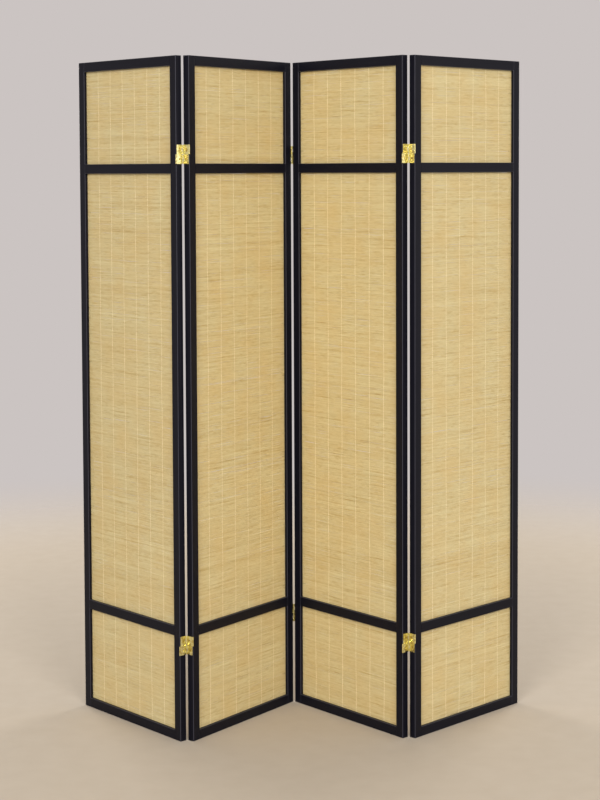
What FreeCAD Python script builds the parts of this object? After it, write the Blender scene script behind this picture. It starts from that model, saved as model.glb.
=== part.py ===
# Four-panel folding screen: lacquered wood frames, matchstick mats and two-way brass hinges.
#
# Row frame: +Z up, +X to the right and -Y towards the front, with the origin on the floor under the
# middle of the standing screen. A panel's own frame has its origin at the foot of its left edge,
# half way through its thickness, with X along the panel and -Y on its front.
# A hinge's own frame has its origin in the middle of the gap between two panels that lie flat,
# at the hinge's mid height. Lengths are millimetres and angles are degrees.
import FreeCAD, Part
import os

from FreeCAD import Placement, Rotation, Vector

DRIVING_SIZES = (
    # The panel frames
    ("screen_height", 1784.0),
    ("panel_width", 438.0),
    ("frame_thickness", 19.0),
    ("stile_width", 25.5),
    ("rail_height", 26.0),
    ("end_opening", 250.5),
    ("arris_radius", 1.5),
    ("dowel_radius", 4.0),
    ("dowel_length", 40.0),
    ("dowel_clearance", 0.05),
    ("dowel_end_clearance", 1.0),
    # The mats and the groove that holds them
    ("mat_thickness", 3.0),
    ("groove_depth", 6.0),
    ("mat_edge_clearance", 1.0),
    # The hinges: leaves, links and pins
    ("hinge_end_distance", 253.0),
    ("hinge_height", 49.0),
    ("hinge_gap", 4.0),
    ("pin_stand_off", 1.2),
    ("leaf_thickness", 1.2),
    ("leaf_edge_inset", 1.5),
    ("link_thickness", 1.2),
    ("barrel_radius", 1.9),
    ("barrel_clearance", 0.3),
    ("knuckle_clearance", 0.3),
    ("halves_clearance", 0.6),
    ("pin_radius", 1.0),
    ("pin_clearance", 0.03),
    ("pin_end_radius", 0.3),
    # The countersunk hinge screws
    ("screw_length", 13.0),
    ("screw_shank_radius", 1.1),
    ("screw_head_radius", 2.2),
    ("screw_head_height", 1.1),
    ("screw_tip_radius", 0.3),
    ("screw_tip_length", 2.5),
    ("screw_clearance", 0.1),
    ("recess_length", 2.6),
    ("recess_width", 0.5),
    ("recess_depth", 0.6),
    ("access_clearance", 0.5),
    # How the screen stands
    ("first_panel_turn", 49.1),
    ("fold_turn_1", 102.7),
    ("fold_turn_2", 103.4),
    ("fold_turn_3", 95.3),
    # How far a cutting shape runs past the face that it enters through
    ("cut_overrun", 1.0),
)

# At a mountain fold the back faces close on each other, at a valley fold the front faces do.
MOUNTAIN = "mountain"
VALLEY = "valley"
FOLDS = {1: MOUNTAIN, 2: VALLEY, 3: MOUNTAIN}
LEFT_END = "left"
RIGHT_END = "right"

# Turns that lay a primitive's own Z axis along +X or along -X, and a half turn about Z
UPRIGHT = Rotation()
ALONG_X = Rotation(Vector(0, 0, 1), Vector(1, 0, 0))
AGAINST_X = Rotation(Vector(0, 0, 1), Vector(-1, 0, 0))
HALF_TURN = Rotation(Vector(-1, 0, 0), Vector(0, -1, 0), Vector(0, 0, 1))

# Places that several pieces share, as expressions in the driving sizes
RAIL_FEET = {
    "bottom_rail": "0",
    "lower_rail": "Sizes.rail_height + Sizes.end_opening",
    "upper_rail": "Sizes.screen_height - 2 * Sizes.rail_height - Sizes.end_opening",
    "top_rail": "Sizes.screen_height - Sizes.rail_height",
}
MIDDLE_OPENING = "Sizes.screen_height - 4 * Sizes.rail_height - 2 * Sizes.end_opening"
OPENINGS = {
    "mat_bottom": ("Sizes.rail_height", "Sizes.end_opening"),
    "mat_middle": ("2 * Sizes.rail_height + Sizes.end_opening", MIDDLE_OPENING),
    "mat_top": ("Sizes.screen_height - Sizes.rail_height - Sizes.end_opening", "Sizes.end_opening"),
}
GROOVES_IN_RAIL = {
    "bottom_rail": ("top",),
    "lower_rail": ("top", "foot"),
    "upper_rail": ("top", "foot"),
    "top_rail": ("foot",),
}
HINGE_HEIGHTS = {
    "lower": "Sizes.hinge_end_distance",
    "upper": "Sizes.screen_height - Sizes.hinge_end_distance",
}
CENTRE_OF_THICKNESS = "0"
DOWEL_HOLE_RADIUS = "Sizes.dowel_radius + Sizes.dowel_clearance"
DOWEL_HOLE_DEPTH = "Sizes.dowel_length / 2 + Sizes.dowel_end_clearance"
MAT_BITE = "(Sizes.groove_depth - Sizes.mat_edge_clearance)"
PIN_OFFSET = "(Sizes.frame_thickness / 2 + Sizes.pin_stand_off)"
SCREW_RISE = "Sizes.hinge_height / 4"
HALF_SPAN = "(Sizes.hinge_height / 2 - Sizes.halves_clearance / 2)"
KNUCKLE_HEIGHT = f"(({HALF_SPAN} - 2 * Sizes.knuckle_clearance) / 3)"
KNUCKLE_PITCH = f"({KNUCKLE_HEIGHT} + Sizes.knuckle_clearance)"
HALF_FEET = {"lower": "-Sizes.hinge_height / 2", "upper": "Sizes.halves_clearance / 2"}
LEAF_FACE = "-Sizes.hinge_gap / 2 + Sizes.leaf_thickness"

doc = FreeCAD.newDocument("FoldingScreen")


def fill_sheet():
    """Write the driving sizes into the sheet, one named cell each."""
    sheet = doc.addObject("Spreadsheet::Sheet", "Sizes")
    for row, (alias, value) in enumerate(DRIVING_SIZES, start=1):
        sheet.set(f"A{row}", alias)
        sheet.set(f"B{row}", str(value))
        sheet.setAlias(f"B{row}", alias)
    doc.recompute()
    return sheet


def bind(item, sizes, base, turn=UPRIGHT):
    """Bind an object's sizes and base point to expressions, and turn it."""
    item.Placement = Placement(Vector(), turn)
    for name, expression in sizes.items():
        item.setExpression(name, expression)
    for axis, expression in zip("xyz", base):
        item.setExpression(f"Placement.Base.{axis}", expression)
    return item


def feature(body, kind, name, base, turn=UPRIGHT, **sizes):
    """Add one additive or subtractive primitive to a body."""
    return bind(body.newObject(f"PartDesign::{kind}", name), sizes, base, turn)


def is_along(edge, direction):
    """Tell whether a straight edge runs along a unit direction."""
    return round(abs(edge.tangentAt(0).dot(direction))) == 1


def round_edges(body, bar, name, radius, chosen):
    """Round the edges of a body's first shape that a test chooses."""
    doc.recompute()
    rounding = body.newObject("PartDesign::Fillet", name)
    edges = enumerate(bar.Shape.Edges, start=1)
    rounding.Base = (bar, [f"Edge{number}" for number, edge in edges if chosen(edge)])
    rounding.setExpression("Radius", radius)


def group(name, members):
    """Gather pieces that lie in one frame."""
    gathered = doc.addObject("Part::Compound", name)
    gathered.Links = members
    return gathered


def copy_at(name, pattern, base, turn=UPRIGHT):
    """Repeat a piece at a base point given by expressions."""
    return bind(group(name, [pattern]), {}, base, turn)


def stile(end, hinged):
    """Make an upright: a rounded bar with mat grooves, dowel sockets and any hinge pilot holes."""
    body = doc.addObject("PartDesign::Body", f"Stile_{end}_{'hinged' if hinged else 'plain'}")
    at_left = end == LEFT_END
    foot = "0" if at_left else "Sizes.panel_width - Sizes.stile_width"
    inner = "Sizes.stile_width" if at_left else "Sizes.panel_width - Sizes.stile_width"
    outer = "0" if at_left else "Sizes.panel_width"
    inward = ALONG_X if at_left else AGAINST_X
    outward = AGAINST_X if at_left else ALONG_X
    sign = "-" if at_left else "+"
    bar = feature(
        body, "AdditiveBox", "Bar", (foot, "-Sizes.frame_thickness / 2", "0"),
        Length="Sizes.stile_width", Width="Sizes.frame_thickness", Height="Sizes.screen_height",
    )
    round_edges(body, bar, "Arris", "Sizes.arris_radius", lambda edge: True)
    for mat, (opening_foot, opening_height) in OPENINGS.items():
        groove_foot = f"{inner} - Sizes.groove_depth" if at_left else f"{inner} - Sizes.cut_overrun"
        feature(
            body, "SubtractiveBox", f"Groove_{mat}",
            (groove_foot, "-Sizes.mat_thickness / 2", f"{opening_foot} - Sizes.groove_depth"),
            Length="Sizes.groove_depth + Sizes.cut_overrun", Width="Sizes.mat_thickness",
            Height=f"{opening_height} + 2 * Sizes.groove_depth",
        )
    for rail, rail_foot in RAIL_FEET.items():
        feature(
            body, "SubtractiveCylinder", f"Socket_{rail}",
            (f"{inner} {sign} ({DOWEL_HOLE_DEPTH})", CENTRE_OF_THICKNESS,
             f"{rail_foot} + Sizes.rail_height / 2"),
            inward, Radius=DOWEL_HOLE_RADIUS, Height=f"{DOWEL_HOLE_DEPTH} + Sizes.cut_overrun",
        )
    if not hinged:
        return body
    pilot_depth = "(Sizes.screw_length - Sizes.leaf_thickness + Sizes.screw_clearance)"
    for hinge, middle in HINGE_HEIGHTS.items():
        for side in ("-", "+"):
            feature(
                body, "SubtractiveCylinder", f"Pilot_{hinge}",
                (f"{outer} - ({sign}{pilot_depth})", CENTRE_OF_THICKNESS, f"{middle} {side} {SCREW_RISE}"),
                outward, Radius="Sizes.screw_shank_radius + Sizes.screw_clearance",
                Height=f"{pilot_depth} + Sizes.cut_overrun",
            )
    return body


def rail(name):
    """Make a cross rail: a rounded bar with a mat groove along each inner edge and dowel sockets."""
    body = doc.addObject("PartDesign::Body", f"Pattern_{name}")
    foot = RAIL_FEET[name]
    length = "Sizes.panel_width - 2 * Sizes.stile_width"
    bar = feature(
        body, "AdditiveBox", "Bar", ("Sizes.stile_width", "-Sizes.frame_thickness / 2", foot),
        Length=length, Width="Sizes.frame_thickness", Height="Sizes.rail_height",
    )
    round_edges(body, bar, "Arris", "Sizes.arris_radius", lambda edge: is_along(edge, Vector(1, 0, 0)))
    groove_feet = {
        "top": f"{foot} + Sizes.rail_height - Sizes.groove_depth",
        "foot": f"{foot} - Sizes.cut_overrun",
    }
    for edge in GROOVES_IN_RAIL[name]:
        feature(
            body, "SubtractiveBox", f"Groove_{edge}",
            ("Sizes.stile_width - Sizes.cut_overrun", "-Sizes.mat_thickness / 2", groove_feet[edge]),
            Length=f"{length} + 2 * Sizes.cut_overrun", Width="Sizes.mat_thickness",
            Height="Sizes.groove_depth + Sizes.cut_overrun",
        )
    sockets = {
        LEFT_END: "Sizes.stile_width - Sizes.cut_overrun",
        RIGHT_END: f"Sizes.panel_width - Sizes.stile_width - ({DOWEL_HOLE_DEPTH})",
    }
    for end, socket_foot in sockets.items():
        feature(
            body, "SubtractiveCylinder", f"Socket_{end}",
            (socket_foot, CENTRE_OF_THICKNESS, f"{foot} + Sizes.rail_height / 2"),
            ALONG_X, Radius=DOWEL_HOLE_RADIUS, Height=f"{DOWEL_HOLE_DEPTH} + Sizes.cut_overrun",
        )
    return body


def mat(name):
    """Make a mat's outer form: a thin plate whose border sits in the grooves."""
    opening_foot, opening_height = OPENINGS[name]
    return bind(
        doc.addObject("Part::Box", f"Pattern_{name}"),
        {
            "Length": f"Sizes.panel_width - 2 * Sizes.stile_width + 2 * {MAT_BITE}",
            "Width": "Sizes.mat_thickness",
            "Height": f"{opening_height} + 2 * {MAT_BITE}",
        },
        (f"Sizes.stile_width - {MAT_BITE}", "-Sizes.mat_thickness / 2", f"{opening_foot} - {MAT_BITE}"),
    )


def dowels():
    """Make the dowels of one panel, one across each joint of a rail and a stile."""
    joints = ("Sizes.stile_width", "Sizes.panel_width - Sizes.stile_width")
    members = []
    for joint in joints:
        for foot in RAIL_FEET.values():
            members.append(bind(
                doc.addObject("Part::Cylinder", "Dowel"),
                {"Radius": "Sizes.dowel_radius", "Height": "Sizes.dowel_length"},
                (f"{joint} - Sizes.dowel_length / 2", CENTRE_OF_THICKNESS, f"{foot} + Sizes.rail_height / 2"),
                ALONG_X,
            ))
    return group("Pattern_dowels", members)


def leaf():
    """Make a hinge leaf for a right-hand edge: a plate with barrels at its lower front and upper back."""
    body = doc.addObject("PartDesign::Body", "Leaf")
    reach = "Sizes.frame_thickness / 2 - Sizes.leaf_edge_inset"
    feature(
        body, "AdditiveBox", "Plate", ("-Sizes.hinge_gap / 2", f"-({reach})", "-Sizes.hinge_height / 2"),
        Length="Sizes.leaf_thickness", Width=f"2 * ({reach})", Height="Sizes.hinge_height",
    )
    barrels = {"lower": f"-{PIN_OFFSET}", "upper": PIN_OFFSET}
    arm_feet = {"lower": f"-{PIN_OFFSET}", "upper": reach}
    for half, pin_place in barrels.items():
        for number in (0, 2):
            foot = f"{HALF_FEET[half]} + {number} * {KNUCKLE_PITCH}"
            feature(
                body, "AdditiveBox", f"Arm_{half}_{number}", ("-Sizes.hinge_gap / 2", arm_feet[half], foot),
                Length="Sizes.leaf_thickness", Width=f"{PIN_OFFSET} - ({reach})", Height=KNUCKLE_HEIGHT,
            )
            feature(
                body, "AdditiveCylinder", f"Knuckle_{half}_{number}", ("0", pin_place, foot),
                Radius="Sizes.barrel_radius", Height=KNUCKLE_HEIGHT,
            )
    for half, pin_place in barrels.items():
        feature(
            body, "SubtractiveCylinder", f"Bore_{half}",
            ("0", pin_place, f"{HALF_FEET[half]} - Sizes.cut_overrun"),
            Radius="Sizes.pin_radius + Sizes.pin_clearance", Height=f"{HALF_SPAN} + 2 * Sizes.cut_overrun",
        )
    for side in ("-", "+"):
        feature(
            body, "SubtractiveCone", "Countersink", (LEAF_FACE, CENTRE_OF_THICKNESS, f"{side} {SCREW_RISE}"),
            AGAINST_X, Radius1="Sizes.screw_head_radius + Sizes.screw_clearance",
            Radius2="Sizes.screw_shank_radius + Sizes.screw_clearance", Height="Sizes.screw_head_height",
        )
        feature(
            body, "SubtractiveCylinder", "Screw_hole",
            (LEAF_FACE, CENTRE_OF_THICKNESS, f"{side} {SCREW_RISE}"),
            AGAINST_X, Radius="Sizes.screw_shank_radius + Sizes.screw_clearance",
            Height="Sizes.leaf_thickness + Sizes.cut_overrun",
        )
    return body


def link(half):
    """Make a link: a plate in the middle of the gap that ties a front pin to a back pin."""
    body = doc.addObject("PartDesign::Body", f"Link_{half}")
    foot = HALF_FEET[half]
    knuckle_foot = f"{foot} + {KNUCKLE_PITCH}"
    reach = f"({PIN_OFFSET} - Sizes.barrel_radius - Sizes.barrel_clearance)"
    feature(
        body, "AdditiveBox", "Plate", ("-Sizes.link_thickness / 2", f"-{reach}", foot),
        Length="Sizes.link_thickness", Width=f"2 * {reach}", Height=HALF_SPAN,
    )
    feature(
        body, "AdditiveBox", "Necks", ("-Sizes.link_thickness / 2", f"-{PIN_OFFSET}", knuckle_foot),
        Length="Sizes.link_thickness", Width=f"2 * {PIN_OFFSET}", Height=KNUCKLE_HEIGHT,
    )
    for sign in ("-", "+"):
        feature(
            body, "AdditiveCylinder", "Knuckle", ("0", f"{sign}{PIN_OFFSET}", knuckle_foot),
            Radius="Sizes.barrel_radius", Height=KNUCKLE_HEIGHT,
        )
    for sign in ("-", "+"):
        feature(
            body, "SubtractiveCylinder", "Bore",
            ("0", f"{sign}{PIN_OFFSET}", f"{knuckle_foot} - Sizes.cut_overrun"),
            Radius="Sizes.pin_radius + Sizes.pin_clearance",
            Height=f"{KNUCKLE_HEIGHT} + 2 * Sizes.cut_overrun",
        )
    screw_place = f"{'-' if half == 'lower' else '+'} {SCREW_RISE}"
    feature(
        body, "SubtractiveCylinder", "Screw_access",
        ("-Sizes.link_thickness / 2 - Sizes.cut_overrun", CENTRE_OF_THICKNESS, screw_place),
        ALONG_X, Radius="Sizes.screw_head_radius + Sizes.access_clearance",
        Height="Sizes.link_thickness + 2 * Sizes.cut_overrun",
    )
    return body


def pin():
    """Make a hinge pin with softened ends, standing on its foot."""
    body = doc.addObject("PartDesign::Body", "Pin")
    rod = feature(
        body, "AdditiveCylinder", "Rod", ("0", "0", "0"), Radius="Sizes.pin_radius", Height=HALF_SPAN,
    )
    round_edges(body, rod, "Ends", "Sizes.pin_end_radius", lambda edge: edge.isClosed())
    return body


def screw():
    """Make a countersunk wood screw with a cross recess, its axis along Z and its head at the foot."""
    body = doc.addObject("PartDesign::Body", "Screw")
    shank_end = "Sizes.screw_length - Sizes.screw_tip_length"
    feature(
        body, "AdditiveCone", "Head", ("0", "0", "0"), Radius1="Sizes.screw_head_radius",
        Radius2="Sizes.screw_shank_radius", Height="Sizes.screw_head_height",
    )
    feature(
        body, "AdditiveCylinder", "Shank", ("0", "0", "Sizes.screw_head_height"),
        Radius="Sizes.screw_shank_radius", Height=f"{shank_end} - Sizes.screw_head_height",
    )
    feature(
        body, "AdditiveCone", "Tip", ("0", "0", shank_end), Radius1="Sizes.screw_shank_radius",
        Radius2="Sizes.screw_tip_radius", Height="Sizes.screw_tip_length",
    )
    slots = (("Sizes.recess_length", "Sizes.recess_width"), ("Sizes.recess_width", "Sizes.recess_length"))
    for length, width in slots:
        feature(
            body, "SubtractiveBox", "Recess", (f"-{length} / 2", f"-{width} / 2", "-Sizes.cut_overrun"),
            Length=length, Width=width, Height="Sizes.recess_depth + Sizes.cut_overrun",
        )
    return body


def at_both_hinges(name, pattern):
    """Repeat a hinge piece at the lower and the upper hinge of an edge."""
    return group(name, [
        copy_at(f"{name}_{hinge}", pattern, ("0", "0", middle)) for hinge, middle in HINGE_HEIGHTS.items()
    ])


def leaf_pins(pattern):
    """Gather the pins of one leaf: one in its lower front barrel, one in its upper back barrel."""
    return group("Leaf_pins", [
        copy_at("Front_pin", pattern, ("0", f"-{PIN_OFFSET}", HALF_FEET["lower"])),
        copy_at("Back_pin", pattern, ("0", PIN_OFFSET, HALF_FEET["upper"])),
    ])


def leaf_screws(pattern):
    """Gather the screws of one leaf, with their heads flush in its face."""
    return group("Leaf_screws", [
        copy_at("Leaf_screw", pattern, (LEAF_FACE, CENTRE_OF_THICKNESS, f"{side} {SCREW_RISE}"), AGAINST_X)
        for side in ("-", "+")
    ])


def end_placements(size):
    """Give the place of the hinge frame at each end of a panel, in the panel's frame."""
    half_gap = size("hinge_gap") / 2
    return {
        LEFT_END: Placement(Vector(-half_gap, 0, 0), HALF_TURN),
        RIGHT_END: Placement(Vector(size("panel_width") + half_gap, 0, 0), UPRIGHT),
    }


def stand_panels(size):
    """Walk along the folds, and give each panel's place and each fold's axis."""
    ends = end_placements(size)
    heading = -size("first_panel_turn")
    places = {1: Placement(Vector(), Rotation(Vector(0, 0, 1), heading))}
    axes = {}
    for number, fold in FOLDS.items():
        side = 1 if fold == MOUNTAIN else -1
        offset = side * (size("frame_thickness") / 2 + size("pin_stand_off"))
        beside_right = ends[RIGHT_END].Base + Vector(0, offset, 0)
        beside_left = ends[LEFT_END].Base + Vector(0, offset, 0)
        axes[number] = places[number].multVec(beside_right)
        heading += side * size(f"fold_turn_{number}")
        turn = Rotation(Vector(0, 0, 1), heading)
        places[number + 1] = Placement(axes[number] - turn.multVec(beside_left), turn)
    return places, axes


def centre_on_floor(nodes, axes):
    """Move every piece and fold axis so that the origin is under the middle of the screen."""
    box = FreeCAD.BoundBox()
    for node in nodes:
        box.add(node.Shape.BoundBox)
    shift = Vector(box.Center.x, box.Center.y, box.ZMin)
    for node in nodes:
        node.Placement = Placement(node.Placement.Base - shift, node.Placement.Rotation)
    return {number: axis - shift for number, axis in axes.items()}


def check_document(nodes):
    """Stop if any object failed or any piece is empty or not valid."""
    for item in doc.Objects:
        if "Invalid" in item.State or "Error" in item.State:
            raise RuntimeError(f"{item.Label} did not recompute: {item.State}")
    for node in nodes:
        if node.Shape.isNull() or not node.Shape.isValid() or not node.Shape.Solids:
            raise RuntimeError(f"{node.Label} has no valid shape")


def build():
    """Build every piece, stand the screen up and write one file for each piece."""
    sheet = fill_sheet()
    size = sheet.get
    ends = end_placements(size)
    places, axes = stand_panels(size)
    nodes = []

    def add_node(label, members, place):
        node = group(label, members)
        node.Label = label
        node.Placement = place
        nodes.append(node)

    stiles = {(end, hinged): stile(end, hinged) for end in (LEFT_END, RIGHT_END) for hinged in (False, True)}
    shared = {name: rail(name) for name in RAIL_FEET}
    shared.update({name: mat(name) for name in OPENINGS})
    shared["dowels"] = dowels()
    leaves = at_both_hinges("Leaves", leaf())
    links = {half: at_both_hinges(f"Links_{half}", link(half)) for half in HALF_FEET}
    pins = at_both_hinges("Pins", leaf_pins(pin()))
    screws = at_both_hinges("Screws", leaf_screws(screw()))

    for panel in places:
        hinged_ends = {LEFT_END: panel - 1 in FOLDS, RIGHT_END: panel in FOLDS}
        for end, hinged in hinged_ends.items():
            add_node(f"panel_{panel}_stile_{end}", [stiles[end, hinged]], places[panel])
        for name, pattern in shared.items():
            add_node(f"panel_{panel}_{name}", [pattern], places[panel])
        for name, pattern in (("hinge_pins", pins), ("hinge_screws", screws)):
            copies = []
            for end, hinged in hinged_ends.items():
                if hinged:
                    copies.append(group(f"{name}_{panel}_{end}", [pattern]))
                    copies[-1].Placement = ends[end]
            add_node(f"panel_{panel}_{name}", copies, places[panel])

    for number, fold in FOLDS.items():
        on_left_panel = places[number].multiply(ends[RIGHT_END])
        on_right_panel = places[number + 1].multiply(ends[LEFT_END])
        add_node(f"hinge_{number}_leaf_left", [leaves], on_left_panel)
        add_node(f"hinge_{number}_leaf_right", [leaves], on_right_panel)
        # A link keeps still against the panel whose pin lies off the fold's axis.
        carriers = {"lower": on_left_panel, "upper": on_right_panel}
        if fold == VALLEY:
            carriers = {"lower": on_right_panel, "upper": on_left_panel}
        for half, carrier in carriers.items():
            add_node(f"hinge_{number}_link_{half}", [links[half]], carrier)

    doc.recompute()
    axes = centre_on_floor(nodes, axes)
    doc.recompute()
    check_document(nodes)
    os.makedirs("parts", exist_ok=True)
    for node in nodes:
        node.Shape.exportStep(f"parts/{node.Label}.step")
    for number, axis in axes.items():
        print(f"fold_{number} axis at x {axis.x:.4f} y {axis.y:.4f}")
    print(f"{len(nodes)} pieces written")


build()
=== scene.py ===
"""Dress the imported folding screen: lacquered frames, matchstick mats with their threads, brass hinges.

Lengths are metres in the row frame, with +Z up, +X to the right and -Y towards the front. A panel's own
frame has its origin at the foot of its left edge, half way through its thickness, with X along the panel,
-Y on its front and Z up.
"""
import logging
import math
from abc import ABC, abstractmethod
from dataclasses import dataclass, field
from enum import Enum
from typing import Any, Callable, ClassVar

import bmesh
import bpy
import numpy as np
from mathutils import Matrix, Vector


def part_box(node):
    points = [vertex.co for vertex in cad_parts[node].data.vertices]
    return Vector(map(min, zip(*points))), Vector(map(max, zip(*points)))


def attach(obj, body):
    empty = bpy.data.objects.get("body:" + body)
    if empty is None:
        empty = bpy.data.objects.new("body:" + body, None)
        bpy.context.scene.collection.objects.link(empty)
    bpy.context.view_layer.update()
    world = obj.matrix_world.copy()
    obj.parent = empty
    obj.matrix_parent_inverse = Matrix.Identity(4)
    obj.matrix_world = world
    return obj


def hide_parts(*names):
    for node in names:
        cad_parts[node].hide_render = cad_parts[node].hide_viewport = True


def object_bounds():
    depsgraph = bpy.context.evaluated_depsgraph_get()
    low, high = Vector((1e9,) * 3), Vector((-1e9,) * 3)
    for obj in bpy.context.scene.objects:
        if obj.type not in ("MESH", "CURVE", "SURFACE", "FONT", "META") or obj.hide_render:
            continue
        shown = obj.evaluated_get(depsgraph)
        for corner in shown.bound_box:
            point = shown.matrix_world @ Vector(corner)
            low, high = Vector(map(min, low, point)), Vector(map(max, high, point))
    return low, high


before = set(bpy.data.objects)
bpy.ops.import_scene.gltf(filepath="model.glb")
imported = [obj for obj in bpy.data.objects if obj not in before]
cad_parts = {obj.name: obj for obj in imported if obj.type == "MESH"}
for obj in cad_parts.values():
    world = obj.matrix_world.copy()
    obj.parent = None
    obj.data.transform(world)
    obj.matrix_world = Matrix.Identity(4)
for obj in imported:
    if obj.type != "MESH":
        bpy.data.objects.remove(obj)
cad_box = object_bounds()

MM = 0.001
QUARTER_TURN = math.pi / 2
PANEL_NUMBERS = (1, 2, 3, 4)
FOLD_NUMBERS = (1, 2, 3)

# Sockets of a colour mix, which shares its socket names with the other kinds of mix
MIX_FIRST = 6
MIX_SECOND = 7
MIX_RESULT = 2

# An sRGB code value turns to linear light along a straight toe and then a power curve.
CODE_MOST = 255
TOE_END = 0.04045
TOE_SLOPE = 12.92
CURVE_OFFSET = 0.055
CURVE_POWER = 2.4

# A diagonal wave turns by this many radians for each unit of x + y + z.
DIAGONAL_WAVE_RATE = 10.0

log = logging.getLogger("folding_screen")


class Opening(Enum):
    """The three openings of a panel, each with its mat."""

    TOP = "top"
    MIDDLE = "middle"
    BOTTOM = "bottom"

    @property
    def number(self) -> int:
        """The opening's place from the top, which sets its random values apart."""
        return list(Opening).index(self)


class Run(Enum):
    """The two ways that the wood grain of a frame member runs."""

    UPRIGHT = "upright"
    ACROSS = "across"


def linear(hex_colour: str) -> tuple[float, float, float, float]:
    """Turn an sRGB hex colour into linear values for a shader socket.

    Args:
        hex_colour: the colour as #RRGGBB.

    Returns:
        Linear red, green and blue, and an alpha of 1.
    """
    parts = [int(hex_colour[start:start + 2], 16) / CODE_MOST for start in (1, 3, 5)]
    red, green, blue = (
        part / TOE_SLOPE if part <= TOE_END
        else ((part + CURVE_OFFSET) / (1 + CURVE_OFFSET)) ** CURVE_POWER
        for part in parts
    )
    return red, green, blue, 1.0


def add_node(
    tree: bpy.types.NodeTree,
    kind: str,
    values: dict[str | int, Any] | None = None,
    links: dict[str | int, bpy.types.NodeSocket] | None = None,
    **settings: Any,
) -> bpy.types.Node:
    """Add one node with its settings, constants and incoming links.

    Args:
        tree: the node tree that gets the node.
        kind: the node's type name.
        values: constants for input sockets, by name or index.
        links: output sockets that feed input sockets, by name or index.
        settings: the node's own properties.

    Returns:
        The new node.
    """
    node = tree.nodes.new(kind)
    for name, value in settings.items():
        setattr(node, name, value)
    for socket, value in (values or {}).items():
        node.inputs[socket].default_value = value
    for socket, source in (links or {}).items():
        tree.links.new(source, node.inputs[socket])
    return node


def dress(piece: bpy.types.Object, material: bpy.types.Material) -> None:
    """Give every material slot of a piece one finish.

    Args:
        piece: the object to dress.
        material: its finish.
    """
    if not piece.material_slots:
        piece.data.materials.append(material)
    for slot in piece.material_slots:
        slot.material = material


class Finish(ABC):
    """A finish, made once and shared by every piece that has it."""

    made: ClassVar[dict[str, bpy.types.Material]] = {}

    @property
    @abstractmethod
    def name(self) -> str:
        """The material's name."""

    @abstractmethod
    def wire(self, tree: bpy.types.NodeTree, shader: bpy.types.Node) -> None:
        """Add this finish's nodes and feed them to the shader.

        Args:
            tree: the material's node tree.
            shader: its principled shader.
        """

    def material(self) -> bpy.types.Material:
        """Make the material the first time, and give it out after that.

        Returns:
            The material with this finish.
        """
        if self.name not in Finish.made:
            material = bpy.data.materials.new(self.name)
            material.use_nodes = True
            self.wire(material.node_tree, material.node_tree.nodes["Principled BSDF"])
            Finish.made[self.name] = material
        return Finish.made[self.name]


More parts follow.
